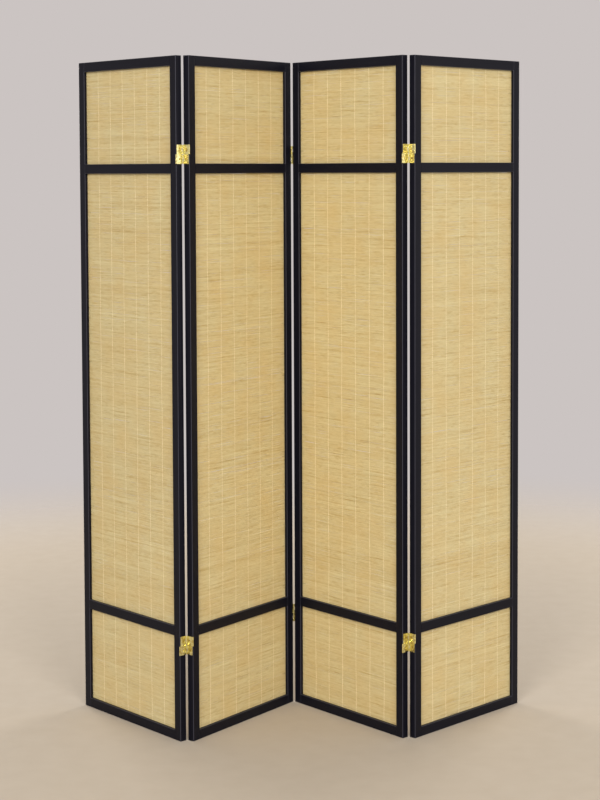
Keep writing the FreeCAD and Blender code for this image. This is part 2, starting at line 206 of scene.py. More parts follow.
@dataclass(frozen=True)
class SatinLacquer(Finish):
    """Black lacquer sprayed on pine and cut back to a satin sheen.

    It gives a deep, slightly blue black with soft reflections. The grain just shows through as shallow
    lines along each member, and a painted highlight lightens the rounded arrises into fine grey lines.
    """

    run: Run
    heading: float
    deep: str = "#0A0A12"
    lifted: str = "#14141E"
    # The colour of the painted highlight on the rounded arrises
    arris_highlight: str = "#484852"
    smooth: float = 0.30
    dull: float = 0.44
    ior: float = 1.46
    gloss: float = 0.13
    # Pine grain is about 1.5 mm wide, and is drawn at 3 mm so that it shows from a few steps away.
    grain_width: float = 3.0 * MM
    grain_length: float = 120.0 * MM
    grain_depth: float = 0.06 * MM
    grain_detail: float = 3.0
    grain_roughness: float = 0.6
    # Patches left by the rubbing
    patch: float = 45.0 * MM
    patch_detail: float = 2.0
    # The painted arris highlight is full below the first value of a normal's largest part and gone above
    # the second. That part is 1 on a flat face and 0.71 in the middle of a rounded arris.
    highlight_full_below: float = 0.80
    highlight_none_above: float = 0.97

    @property
    def name(self) -> str:
        """The material's name, with the way that its grain runs and its panel's heading in degrees."""
        return f"satin_black_lacquer_{self.run.value}_{round(math.degrees(self.heading))}"

    def arris_highlight_mask(self, tree: bpy.types.NodeTree, place: bpy.types.Node) -> bpy.types.NodeSocket:
        """Find the rounded arrises, whose normals slant to the member's own axes, where the highlight is
        painted.

        Args:
            tree: the material's node tree.
            place: its coordinates.

        Returns:
            A socket that is 1 where an arris gets the painted highlight and 0 on a flat face.
        """
        facing = add_node(
            tree, "ShaderNodeMapping", {"Rotation": (0.0, 0.0, -self.heading)},
            {"Vector": place.outputs["Normal"]},
        )
        unsigned = add_node(
            tree, "ShaderNodeVectorMath", links={0: facing.outputs["Vector"]}, operation="ABSOLUTE",
        )
        parts = add_node(tree, "ShaderNodeSeparateXYZ", links={"Vector": unsigned.outputs["Vector"]})
        level = add_node(
            tree, "ShaderNodeMath", links={0: parts.outputs["X"], 1: parts.outputs["Y"]},
            operation="MAXIMUM",
        )
        flatness = add_node(
            tree, "ShaderNodeMath", links={0: level.outputs["Value"], 1: parts.outputs["Z"]},
            operation="MAXIMUM",
        )
        highlight_share = add_node(
            tree, "ShaderNodeMapRange",
            {
                "From Min": self.highlight_full_below, "From Max": self.highlight_none_above,
                "To Min": 1.0, "To Max": 0.0,
            },
            {"Value": flatness.outputs["Value"]},
        )
        return highlight_share.outputs["Result"]

    def wire(self, tree: bpy.types.NodeTree, shader: bpy.types.Node) -> None:
        """Draw the grain along the member, let the sheen vary in patches, and paint a highlight on the
        arrises.

        Args:
            tree: the material's node tree.
            shader: its principled shader.
        """
        fine = 1 / self.grain_width
        long = 1 / self.grain_length
        scale = (fine, fine, long) if self.run is Run.UPRIGHT else (long, fine, fine)
        place = add_node(tree, "ShaderNodeTexCoord")
        # The turn lays the pattern's X along the rail, so a rail's grain follows its panel.
        turned = add_node(
            tree, "ShaderNodeMapping", {"Rotation": (0.0, 0.0, -self.heading)},
            {"Vector": place.outputs["Object"]},
        )
        stretched = add_node(
            tree, "ShaderNodeMapping", {"Scale": scale}, {"Vector": turned.outputs["Vector"]},
        )
        grain = add_node(
            tree, "ShaderNodeTexNoise",
            {"Scale": 1.0, "Detail": self.grain_detail, "Roughness": self.grain_roughness},
            {"Vector": stretched.outputs["Vector"]},
        )
        patches = add_node(
            tree, "ShaderNodeTexNoise", {"Scale": 1 / self.patch, "Detail": self.patch_detail},
            {"Vector": place.outputs["Object"]},
        )
        colour = add_node(
            tree, "ShaderNodeMix", {MIX_FIRST: linear(self.deep), MIX_SECOND: linear(self.lifted)},
            {"Factor": grain.outputs["Fac"]}, data_type="RGBA",
        )
        # Mix the painted highlight into the colour on the rounded arrises
        worn = add_node(
            tree, "ShaderNodeMix", {MIX_SECOND: linear(self.arris_highlight)},
            {"Factor": self.arris_highlight_mask(tree, place), MIX_FIRST: colour.outputs[MIX_RESULT]},
            data_type="RGBA",
        )
        sheen = add_node(
            tree, "ShaderNodeMapRange", {"To Min": self.smooth, "To Max": self.dull},
            {"Value": patches.outputs["Fac"]},
        )
        relief = add_node(
            tree, "ShaderNodeBump", {"Strength": 1.0, "Distance": self.grain_depth},
            {"Height": grain.outputs["Fac"]},
        )
        shader.inputs["IOR"].default_value = self.ior
        shader.inputs["Specular IOR Level"].default_value = self.gloss
        tree.links.new(worn.outputs[MIX_RESULT], shader.inputs["Base Color"])
        tree.links.new(sheen.outputs["Result"], shader.inputs["Roughness"])
        tree.links.new(relief.outputs["Normal"], shader.inputs["Normal"])


@dataclass(frozen=True)
class MatchstickBamboo(Finish):
    """Bamboo split into sticks and left bare.

    It gives a dry straw colour that changes from stick to stick, with short darker streaks and fine dark
    fibres along each stick, and slow warmer patches where the sticks come from riper canes.
    """

    ripe: str = "#B39A62"
    pale: str = "#D9CD9F"
    fibre: str = "#997E4A"
    warm: str = "#CCAF73"
    # A streak shows where its noise is low, so most of a stick keeps its plain shade.
    streak_spread: float = 0.13
    streak_from: float = 0.30
    streak_to: float = 0.46
    streak_detail: float = 1.0
    fibre_share: float = 0.30
    fibre_from: float = 0.5
    fibre_to: float = 0.8
    warm_share: float = 0.45
    warm_from: float = 0.35
    warm_to: float = 0.75
    # Fibres are about 0.3 mm wide, and are drawn at 0.8 mm so that they show from a few steps away.
    fibre_width: float = 0.8 * MM
    fibre_length: float = 22.0 * MM
    fibre_depth: float = 0.08 * MM
    fibre_detail: float = 2.0
    fibre_roughness: float = 0.55
    patch: float = 95.0 * MM
    patch_detail: float = 1.0
    polished: float = 0.48
    rough: float = 0.68

    @property
    def name(self) -> str:
        """The material's name."""
        return "split_bamboo_sticks"

    def shade(self, tree: bpy.types.NodeTree) -> bpy.types.NodeSocket:
        """Add the streaks along each stick to the stick's own tone.

        Args:
            tree: the material's node tree.

        Returns:
            A socket that is 0 where a stick is ripe and 1 where it is pale.
        """
        tone = add_node(tree, "ShaderNodeAttribute", attribute_name=SlatMat.TONE)
        course = add_node(tree, "ShaderNodeAttribute", attribute_name=SlatMat.COURSE)
        streaks = add_node(
            tree, "ShaderNodeTexNoise", {"Scale": 1.0, "Detail": self.streak_detail},
            {"Vector": course.outputs["Vector"]},
        )
        streak = add_node(
            tree, "ShaderNodeMapRange",
            {
                "From Min": self.streak_from, "From Max": self.streak_to,
                "To Min": -self.streak_spread, "To Max": self.streak_spread,
            },
            {"Value": streaks.outputs["Fac"]},
        )
        shade = add_node(
            tree, "ShaderNodeMath", links={0: tone.outputs["Fac"], 1: streak.outputs["Result"]},
            operation="ADD", use_clamp=True,
        )
        return shade.outputs["Value"]

    def wire(self, tree: bpy.types.NodeTree, shader: bpy.types.Node) -> None:
        """Colour each stick by its shade, then add the warmer patches and the fibres.

        Args:
            tree: the material's node tree.
            shader: its principled shader.
        """
        place = add_node(tree, "ShaderNodeAttribute", attribute_name=SlatMat.PLACE)
        across = 1 / self.fibre_width
        stretched = add_node(
            tree, "ShaderNodeMapping", {"Scale": (1 / self.fibre_length, across, across)},
            {"Vector": place.outputs["Vector"]},
        )
        fibres = add_node(
            tree, "ShaderNodeTexNoise",
            {"Scale": 1.0, "Detail": self.fibre_detail, "Roughness": self.fibre_roughness},
            {"Vector": stretched.outputs["Vector"]},
        )
        patches = add_node(
            tree, "ShaderNodeTexNoise", {"Scale": 1 / self.patch, "Detail": self.patch_detail},
            {"Vector": place.outputs["Vector"]},
        )
        straw = add_node(
            tree, "ShaderNodeMix", {MIX_FIRST: linear(self.ripe), MIX_SECOND: linear(self.pale)},
            {"Factor": self.shade(tree)}, data_type="RGBA",
        )
        ripeness = add_node(
            tree, "ShaderNodeMapRange",
            {"From Min": self.warm_from, "From Max": self.warm_to, "To Max": self.warm_share},
            {"Value": patches.outputs["Fac"]},
        )
        warmed = add_node(
            tree, "ShaderNodeMix", {MIX_SECOND: linear(self.warm)},
            {"Factor": ripeness.outputs["Result"], MIX_FIRST: straw.outputs[MIX_RESULT]},
            data_type="RGBA",
        )
        fibre_line = add_node(
            tree, "ShaderNodeMapRange",
            {"From Min": self.fibre_from, "From Max": self.fibre_to, "To Max": self.fibre_share},
            {"Value": fibres.outputs["Fac"]},
        )
        lined = add_node(
            tree, "ShaderNodeMix", {MIX_SECOND: linear(self.fibre)},
            {"Factor": fibre_line.outputs["Result"], MIX_FIRST: warmed.outputs[MIX_RESULT]},
            data_type="RGBA",
        )
        dryness = add_node(
            tree, "ShaderNodeMapRange", {"To Min": self.polished, "To Max": self.rough},
            {"Value": fibres.outputs["Fac"]},
        )
        relief = add_node(
            tree, "ShaderNodeBump", {"Strength": 1.0, "Distance": self.fibre_depth},
            {"Height": fibres.outputs["Fac"]},
        )
        tree.links.new(lined.outputs[MIX_RESULT], shader.inputs["Base Color"])
        tree.links.new(dryness.outputs["Result"], shader.inputs["Roughness"])
        tree.links.new(relief.outputs["Normal"], shader.inputs["Normal"])


@dataclass(frozen=True)
class CottonThread(Finish):
    """Two-ply cotton thread in its natural cream.

    It gives a soft, matt line, paler than the sticks, with the twist of its plies as fine slanting bands.
    """

    cream: str = "#F6EBC6"
    shaded: str = "#E6D5A6"
    # The twist is about 0.8 mm long, and is drawn at 3.2 mm so that it shows beside the sticks.
    twist: float = 3.2 * MM
    unevenness: float = 0.6
    sheen: float = 0.25
    rough: float = 0.9

    @property
    def name(self) -> str:
        """The material's name."""
        return "twisted_cotton_thread"

    def wire(self, tree: bpy.types.NodeTree, shader: bpy.types.Node) -> None:
        """Band the thread with its twist.

        Args:
            tree: the material's node tree.
            shader: its principled shader.
        """
        place = add_node(tree, "ShaderNodeTexCoord")
        bands = add_node(
            tree, "ShaderNodeTexWave",
            {"Scale": math.tau / (DIAGONAL_WAVE_RATE * self.twist), "Distortion": self.unevenness},
            {"Vector": place.outputs["Object"]}, wave_type="BANDS", bands_direction="DIAGONAL",
        )
        colour = add_node(
            tree, "ShaderNodeMix", {MIX_FIRST: linear(self.shaded), MIX_SECOND: linear(self.cream)},
            {"Factor": bands.outputs["Fac"]}, data_type="RGBA",
        )
        shader.inputs["Roughness"].default_value = self.rough
        shader.inputs["Sheen Weight"].default_value = self.sheen
        tree.links.new(colour.outputs[MIX_RESULT], shader.inputs["Base Color"])


@dataclass(frozen=True)
class PolishedBrass(Finish):
    """Sheet brass, stamped and polished bright.

    It gives pale gold mirrors, broken by faint rolling lines and by duller, browner patches where the
    polish has begun to tarnish.
    """

    bright: str = "#F5EEAE"
    tarnished: str = "#B59D48"
    mirror: float = 0.14
    dull: float = 0.34
    # Rolling lines are about 0.1 mm apart, and are drawn at 0.5 mm so that they show on a small leaf.
    line: float = 0.5 * MM
    line_length: float = 14.0 * MM
    line_depth: float = 0.012 * MM
    line_detail: float = 1.0
    patch: float = 7.0 * MM
    patch_detail: float = 3.0
    tarnish_from: float = 0.46
    tarnish_to: float = 0.72

    @property
    def name(self) -> str:
        """The material's name."""
        return "polished_sheet_brass"

    def wire(self, tree: bpy.types.NodeTree, shader: bpy.types.Node) -> None:
        """Tarnish the metal in patches and draw its rolling lines.

        Args:
            tree: the material's node tree.
            shader: its principled shader.
        """
        place = add_node(tree, "ShaderNodeTexCoord")
        patches = add_node(
            tree, "ShaderNodeTexNoise", {"Scale": 1 / self.patch, "Detail": self.patch_detail},
            {"Vector": place.outputs["Object"]},
        )
        tarnish = add_node(
            tree, "ShaderNodeMapRange", {"From Min": self.tarnish_from, "From Max": self.tarnish_to},
            {"Value": patches.outputs["Fac"]},
        )
        colour = add_node(
            tree, "ShaderNodeMix", {MIX_FIRST: linear(self.bright), MIX_SECOND: linear(self.tarnished)},
            {"Factor": tarnish.outputs["Result"]}, data_type="RGBA",
        )
        polish = add_node(
            tree, "ShaderNodeMapRange", {"To Min": self.mirror, "To Max": self.dull},
            {"Value": tarnish.outputs["Result"]},
        )
        stretched = add_node(
            tree, "ShaderNodeMapping", {"Scale": (1 / self.line, 1 / self.line, 1 / self.line_length)},
            {"Vector": place.outputs["Object"]},
        )
        lines = add_node(
            tree, "ShaderNodeTexNoise", {"Scale": 1.0, "Detail": self.line_detail},
            {"Vector": stretched.outputs["Vector"]},
        )
        relief = add_node(
            tree, "ShaderNodeBump", {"Strength": 1.0, "Distance": self.line_depth},
            {"Height": lines.outputs["Fac"]},
        )
        shader.inputs["Metallic"].default_value = 1.0
        tree.links.new(colour.outputs[MIX_RESULT], shader.inputs["Base Color"])
        tree.links.new(polish.outputs["Result"], shader.inputs["Roughness"])
        tree.links.new(relief.outputs["Normal"], shader.inputs["Normal"])


@dataclass(frozen=True)
class PlatedScrew(Finish):
    """Steel screws with a thin brass plating.

    It gives a yellower, duller metal than the leaves, with darker specks where the plating is thin.
    """

    plating: str = "#C9AF5A"
    worn: str = "#5E4A24"
    mirror: float = 0.24
    dull: float = 0.42
    speck: float = 1.2 * MM
    speck_detail: float = 2.0
    wear_from: float = 0.5
    wear_to: float = 0.75

    @property
    def name(self) -> str:
        """The material's name."""
        return "brass_plated_steel"

    def wire(self, tree: bpy.types.NodeTree, shader: bpy.types.Node) -> None:
        """Speckle the plating with wear.

        Args:
            tree: the material's node tree.
            shader: its principled shader.
        """
        place = add_node(tree, "ShaderNodeTexCoord")
        specks = add_node(
            tree, "ShaderNodeTexNoise", {"Scale": 1 / self.speck, "Detail": self.speck_detail},
            {"Vector": place.outputs["Object"]},
        )
        wear = add_node(
            tree, "ShaderNodeMapRange", {"From Min": self.wear_from, "From Max": self.wear_to},
            {"Value": specks.outputs["Fac"]},
        )
        colour = add_node(
            tree, "ShaderNodeMix", {MIX_FIRST: linear(self.plating), MIX_SECOND: linear(self.worn)},
            {"Factor": wear.outputs["Result"]}, data_type="RGBA",
        )
        polish = add_node(
            tree, "ShaderNodeMapRange", {"To Min": self.mirror, "To Max": self.dull},
            {"Value": wear.outputs["Result"]},
        )
        shader.inputs["Metallic"].default_value = 1.0
        tree.links.new(colour.outputs[MIX_RESULT], shader.inputs["Base Color"])
        tree.links.new(polish.outputs["Result"], shader.inputs["Roughness"])


@dataclass(frozen=True)
class TurnedBeech(Finish):
    """Beech turned to dowel and left bare.

    It gives a pinkish tan with short dark flecks.
    """

    ground: str = "#CDA67C"
    fleck: str = "#9C7148"
    fleck_length: float = 3.0 * MM
    fleck_detail: float = 3.0
    rough: float = 0.62

    @property
    def name(self) -> str:
        """The material's name."""
        return "turned_beech"

    def wire(self, tree: bpy.types.NodeTree, shader: bpy.types.Node) -> None:
        """Fleck the wood.

        Args:
            tree: the material's node tree.
            shader: its principled shader.
        """
        place = add_node(tree, "ShaderNodeTexCoord")
        flecks = add_node(
            tree, "ShaderNodeTexNoise", {"Scale": 1 / self.fleck_length, "Detail": self.fleck_detail},
            {"Vector": place.outputs["Object"]},
        )
        colour = add_node(
            tree, "ShaderNodeMix", {MIX_FIRST: linear(self.ground), MIX_SECOND: linear(self.fleck)},
            {"Factor": flecks.outputs["Fac"]}, data_type="RGBA",
        )
        shader.inputs["Roughness"].default_value = self.rough
        tree.links.new(colour.outputs[MIX_RESULT], shader.inputs["Base Color"])


@dataclass(frozen=True)
class PaleFloor(Finish):
    """A painted studio floor, rolled on and matt, which gives an even pale ground for the shadow."""

    ground: str = "#B8AC9B"
    rolled: str = "#BFB4A4"
    roller_mark: float = 60.0 * MM
    mark_detail: float = 2.0
    rough: float = 0.75
    gloss: float = 0.2
    fade_from: float = 2.2
    fade_to: float = 4.2

    @property
    def name(self) -> str:
        """The material's name."""
        return "rolled_floor_paint"

    def wire(self, tree: bpy.types.NodeTree, shader: bpy.types.Node) -> None:
        """Mottle the paint, and fade the floor out far from the screen.

        Args:
            tree: the material's node tree.
            shader: its principled shader.
        """
        place = add_node(tree, "ShaderNodeTexCoord")
        marks = add_node(
            tree, "ShaderNodeTexNoise", {"Scale": 1 / self.roller_mark, "Detail": self.mark_detail},
            {"Vector": place.outputs["Object"]},
        )
        colour = add_node(
            tree, "ShaderNodeMix", {MIX_FIRST: linear(self.ground), MIX_SECOND: linear(self.rolled)},
            {"Factor": marks.outputs["Fac"]}, data_type="RGBA",
        )
        reach = add_node(
            tree, "ShaderNodeVectorMath", links={0: place.outputs["Object"]}, operation="LENGTH",
        )
        fade = add_node(
            tree, "ShaderNodeMapRange",
            {"From Min": self.fade_from, "From Max": self.fade_to, "To Min": 1.0, "To Max": 0.0},
            {"Value": reach.outputs["Value"]}, interpolation_type="SMOOTHSTEP",
        )
        shader.inputs["Roughness"].default_value = self.rough
        shader.inputs["Specular IOR Level"].default_value = self.gloss
        tree.links.new(colour.outputs[MIX_RESULT], shader.inputs["Base Color"])
        tree.links.new(fade.outputs["Result"], shader.inputs["Alpha"])


@dataclass
class Panel:
    """One framed panel, with its own axes read from the places of its stiles."""

    number: int
    origin: Vector = field(init=False)
    heading: float = field(init=False)

    def __post_init__(self) -> None:
        """Find the panel's heading from its two stiles, and its origin at the foot of its left edge."""
        left = self.middle(self.node("stile_left"))
        right = self.middle(self.node("stile_right"))
        along = (right - left).normalized()
        self.heading = math.atan2(along.y, along.x)
        # The heading alone is enough to measure along the panel, and the origin follows from that.
        self.origin = Vector((0.0, 0.0, 0.0))
        edge = self.local_box("stile_left")[0].x
        foot = left.to_2d() - along.to_2d() * (self.to_local(left).x - edge)
        self.origin = Vector((foot.x, foot.y, 0.0))

    @property
    def body(self) -> str:
        """The name of the body that carries this panel."""
        return f"panel_{self.number}"

    def node(self, piece: str) -> str:
        """The node name of one of this panel's pieces."""
        return f"panel_{self.number}_{piece}"

    def matrix(self) -> Matrix:
        """The panel's place in the row frame."""
        return Matrix.Translation(self.origin) @ Matrix.Rotation(self.heading, 4, "Z")

    def to_local(self, point: Vector) -> Vector:
        """A point of the row frame in the panel's own frame."""
        return self.matrix().inverted() @ point

    @staticmethod
    def middle(node: str) -> Vector:
        """The middle of a node's box."""
        low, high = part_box(node)
        return (Vector(low) + Vector(high)) / 2

    def local_box(self, piece: str) -> tuple[Vector, Vector]:
        """Measure one of the panel's pieces along the panel's own axes.

        Args:
            piece: the piece's name without the panel's.

        Returns:
            Its lowest and highest corner in the panel's frame.
        """
        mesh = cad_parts[self.node(piece)].data
        points = np.array([self.to_local(vertex.co) for vertex in mesh.vertices])
        return Vector(points.min(axis=0)), Vector(points.max(axis=0))

    def settle(self, piece: bpy.types.Object) -> None:
        """Put a piece that was made in the panel's frame in its place, and let it ride on the panel.

        Args:
            piece: the object, which keeps its place in its mesh.
        """
        piece.data.transform(self.matrix())
        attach(piece, self.body)


def pick_edges(piece: bpy.types.Object, chosen: Callable[[bmesh.types.BMEdge], bool]) -> None:
    """In edit mode, select the edges that a test chooses.

    Args:
        piece: the object in edit mode.
        chosen: the test for an edge.
    """
    bpy.ops.mesh.select_mode(type="EDGE")
    bpy.ops.mesh.select_all(action="DESELECT")
    mesh = bmesh.from_edit_mesh(piece.data)
    for edge in mesh.edges:
        edge.select_set(chosen(edge))
    bmesh.update_edit_mesh(piece.data)


def own_copy(pattern: bpy.types.Object, name: str) -> bpy.types.Object:
    """Copy a pattern with a mesh of its own.

    Args:
        pattern: the object to copy.
        name: the copy's name.

    Returns:
        The copy, linked into the scene.
    """
    copy = pattern.copy()
    copy.data = pattern.data.copy()
    copy.name = name
    copy.data.name = name
    bpy.context.scene.collection.objects.link(copy)
    return copy


def repeat(
    piece: bpy.types.Object, count: int, step: tuple[float, float, float], join: float = 0.0,
) -> None:
    """Repeat the active object's mesh in a row.

    Args:
        piece: the active object.
        count: how many times the row shows the mesh.
        step: the way from one to the next.
        join: how near the points of neighbours join, or 0 to keep neighbours apart.
    """
    row = piece.modifiers.new("row", "ARRAY")
    row.use_relative_offset = False
    row.use_constant_offset = True
    row.constant_offset_displace = step
    row.count = count
    row.use_merge_vertices = join > 0
    row.merge_threshold = join
    bpy.ops.object.modifier_apply(modifier=row.name)


def read_points(mesh: bpy.types.Mesh) -> np.ndarray:
    """Read a mesh's points.

    Args:
        mesh: the mesh.

    Returns:
        One row of x, y and z for each point.
    """
    points = np.empty(len(mesh.vertices) * 3)
    mesh.vertices.foreach_get("co", points)
    return points.reshape(-1, 3)


@dataclass
class FrameMembers:
    """The stiles, rails and dowels of one panel, which keep their solids and get their finish."""

    panel: Panel
    uprights: tuple[str, ...] = ("stile_left", "stile_right")
    crossings: tuple[str, ...] = ("bottom_rail", "lower_rail", "upper_rail", "top_rail")

    def finish_members(self) -> None:
        """Lacquer the stiles and rails along their grain, and leave the dowels bare."""
        upright = SatinLacquer(Run.UPRIGHT, self.panel.heading)
        across = SatinLacquer(Run.ACROSS, self.panel.heading)
        finishes = {piece: upright for piece in self.uprights}
        finishes.update({piece: across for piece in self.crossings})
        finishes["dowels"] = TurnedBeech()
        for piece, finish in finishes.items():
            dress(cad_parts[self.panel.node(piece)], finish.material())
            log.info("%s: %s", self.panel.node(piece), finish.name)


@dataclass
class SlatMat:
    """A mat of bamboo sticks laid across an opening, with its border in the frame's grooves."""

    TONE: ClassVar[str] = "stick_tone"
    PLACE: ClassVar[str] = "panel_place"
    COURSE: ClassVar[str] = "stick_course"

    opening: Opening
    low: Vector
    high: Vector
    clear_left: float
    clear_right: float
    target_pitch: float = 3.0 * MM
    stick_depth: float = 1.5 * MM
    height_share: float = 1.09
    sides: int = 6
    bays: int = 7
    crease: float = math.radians(75)
    # How far a stick's rings stray up or down and forward or back, the latter up to a few such spreads
    lift: float = 0.22 * MM
    proud: float = 0.22 * MM
    proud_spreads: float = 2.0
    sway: float = 1.1 * MM
    sway_length: float = 150.0 * MM
    sway_octaves: tuple[float, ...] = (1.0, 1.7, 2.9)
    sway_rise: float = 0.6
    edge_calm: float = 40.0 * MM
    girth_spread: float = 0.06
    girth_least: float = 0.75
    girth_most: float = 1.15
    # A tone of 0 is a ripe stick and 1 is a pale one.
    tone_middle: float = 0.49
    stick_tone_spread: float = 0.07
    bay_tone_spread: float = 0.03
    stain_share: float = 0.03
    stain_drop: float = 0.35
    streak_length: float = 28.0 * MM
    streak_step: float = 3.37
    drift_seed: int = 7
    stick_seed: int = 3
    # Points whose places along the panel agree to this many decimals belong to one ring.
    ring_decimals: int = 6
    count: int = field(init=False)
    pitch: float = field(init=False)
    bay: float = field(init=False)
    pattern: bpy.types.Object = field(init=False)

    def __post_init__(self) -> None:
        """Fit a whole number of sticks into the mat's height, and model them."""
        height = self.high.z - self.low.z
        self.count = round(height / self.target_pitch)
        self.pitch = height / self.count
        self.bay = (self.clear_right - self.clear_left) / self.bays
        self.pattern = self.model()

    def model(self) -> bpy.types.Object:
        """Model one stick and repeat it up the mat.

        Returns:
            The mat with even sticks, in the panel's frame.
        """
        length = self.high.x - self.low.x
        centre = ((self.low.x + self.high.x) / 2, 0.0, self.low.z + self.pitch / 2)
        half_height = self.pitch * self.height_share / 2
        # The hexagon stands on a corner, so its flat faces are the front and the back.
        flat_reach = half_height * math.cos(math.pi / self.sides)
        bpy.ops.object.select_all(action="DESELECT")
        bpy.ops.mesh.primitive_cylinder_add(
            vertices=self.sides, radius=half_height, depth=length, end_fill_type="NGON",
            location=centre, rotation=(QUARTER_TURN, 0.0, QUARTER_TURN),
        )
        mat = bpy.context.object
        bpy.ops.object.mode_set(mode="EDIT")
        bpy.ops.transform.resize(
            value=(1.0, self.stick_depth / 2 / flat_reach, 1.0), center_override=centre,
        )
        pick_edges(mat, lambda edge: edge.calc_length() > length / 2)
        bpy.ops.mesh.subdivide(number_cuts=self.bays)
        # The inner rings move out to the middles of the bays between the threads.
        pick_edges(mat, lambda edge: all(abs(end.co.z) < length / 2 - self.pitch for end in edge.verts))
        ring_step = length / (self.bays + 1)
        bpy.ops.transform.resize(value=(self.bay / ring_step, 1.0, 1.0), center_override=centre)
        bpy.ops.object.mode_set(mode="OBJECT")
        bpy.ops.object.transform_apply(location=True, rotation=True, scale=True)
        repeat(mat, self.count, (0.0, 0.0, self.pitch))
        bpy.ops.object.shade_smooth_by_angle(angle=self.crease)
        return mat

    def drift(self, x: np.ndarray, z: np.ndarray, panel: int) -> np.ndarray:
        """Give the slow rise and fall that neighbouring sticks share.

        Args:
            x: places along the panel.
            z: heights.
            panel: the panel's number, which sets the phases.

        Returns:
            How far each place moves up.
        """
        chance = np.random.default_rng([panel, self.opening.number, self.drift_seed])
        total = np.zeros_like(x)
        for octave in self.sway_octaves:
            turn = math.tau * octave / self.sway_length
            phase = chance.uniform(0.0, math.tau, 2)
            total += np.sin(x * turn + phase[0]) * np.sin(z * turn * self.sway_rise + phase[1]) / octave
        calm = np.minimum(z - self.low.z, self.high.z - z) / self.edge_calm
        # The waves add up to almost 2 at most.
        return total * self.sway / 2 * np.clip(calm, 0.0, 1.0)

    def weave(self, panel: Panel) -> None:
        """Copy the mat for one panel, and make its sticks as uneven as split bamboo.

        Args:
            panel: the panel that holds the mat.
        """
        mat = own_copy(self.pattern, panel.node(f"slats_{self.opening.value}"))
        chance = np.random.default_rng([panel.number, self.opening.number, self.stick_seed])
        points = read_points(mat.data).reshape(self.count, -1, 3)
        ring_places, ring_of = np.unique(points[0, :, 0].round(self.ring_decimals), return_inverse=True)
        rings = len(ring_places)
        self.stray(points, rings, ring_of, chance, panel.number)
        mat.data.vertices.foreach_set("co", points.ravel())

        self.write_values(mat.data, self.TONE, "FLOAT", self.tones(rings, chance)[:, ring_of])
        # Each panel's fibres and patches lie in a stretch of the pattern of their own.
        places = points + np.array([panel.number, 0.0, 0.0])
        self.write_values(mat.data, self.PLACE, "FLOAT_VECTOR", places)
        # A noise runs along each stick, and the step keeps it apart from the next stick's.
        course = np.empty_like(points)
        course[:, :, 0] = points[:, :, 0] / self.streak_length
        course[:, :, 1] = np.arange(self.count)[:, None] * self.streak_step
        course[:, :, 2] = (panel.number * len(Opening) + self.opening.number) * self.streak_step
        self.write_values(mat.data, self.COURSE, "FLOAT_VECTOR", course)

        dress(mat, MatchstickBamboo().material())
        panel.settle(mat)
        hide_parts(panel.node(f"mat_{self.opening.value}"))
        log.info("%s: %d sticks", mat.name, self.count)

    def stray(
        self,
        points: np.ndarray,
        rings: int,
        ring_of: np.ndarray,
        chance: np.random.Generator,
        panel: int,
    ) -> None:
        """Give each of the even sticks a girth of its own, and let it waver along its length.

        Args:
            points: the places of the points of each stick, which are changed.
            rings: how many rings of points a stick has.
            ring_of: the ring that each point of a stick belongs to.
            chance: the mat's random draws.
            panel: the panel's number.
        """
        middles = self.low.z + self.pitch * (np.arange(self.count) + 0.5)
        girth = chance.normal(1.0, self.girth_spread, (self.count, 1))
        girth = np.clip(girth, self.girth_least, self.girth_most)
        lift = chance.normal(0.0, self.lift, (self.count, rings))
        proud = chance.normal(0.0, self.proud, (self.count, rings))
        proud_most = self.proud_spreads * self.proud
        proud = np.clip(proud, -proud_most, proud_most)
        # The first and the last stick lie straight in their grooves.
        lift[0] = lift[-1] = 0.0
        height = points[:, :, 2] - middles[:, None]
        points[:, :, 2] = middles[:, None] + height * girth + lift[:, ring_of]
        points[:, :, 1] += proud[:, ring_of]
        points[:, :, 2] += self.drift(points[:, :, 0], points[:, :, 2], panel)
        points[:, :, 2] = np.clip(points[:, :, 2], self.low.z, self.high.z)

    def tones(self, rings: int, chance: np.random.Generator) -> np.ndarray:
        """Draw the tone of each stick, a little off that in each bay, with a few stained bays.

        Args:
            rings: how many rings of points a stick has.
            chance: the mat's random draws.

        Returns:
            A tone for each ring of each stick.
        """
        tone = chance.normal(self.tone_middle, self.stick_tone_spread, (self.count, 1))
        tone = tone + chance.normal(0.0, self.bay_tone_spread, (self.count, rings))
        tone[chance.random((self.count, rings)) < self.stain_share] -= self.stain_drop
        return np.clip(tone, 0.0, 1.0)

    @staticmethod
    def write_values(mesh: bpy.types.Mesh, name: str, kind: str, values: np.ndarray) -> None:
        """Store one value for each point of a mesh.

        Args:
            mesh: the mesh.
            name: the attribute's name.
            kind: the attribute's type.
            values: the values in the order of the points.
        """
        attribute = mesh.attributes.new(name, kind, "POINT")
        attribute.data.foreach_set("vector" if kind == "FLOAT_VECTOR" else "value", values.ravel())


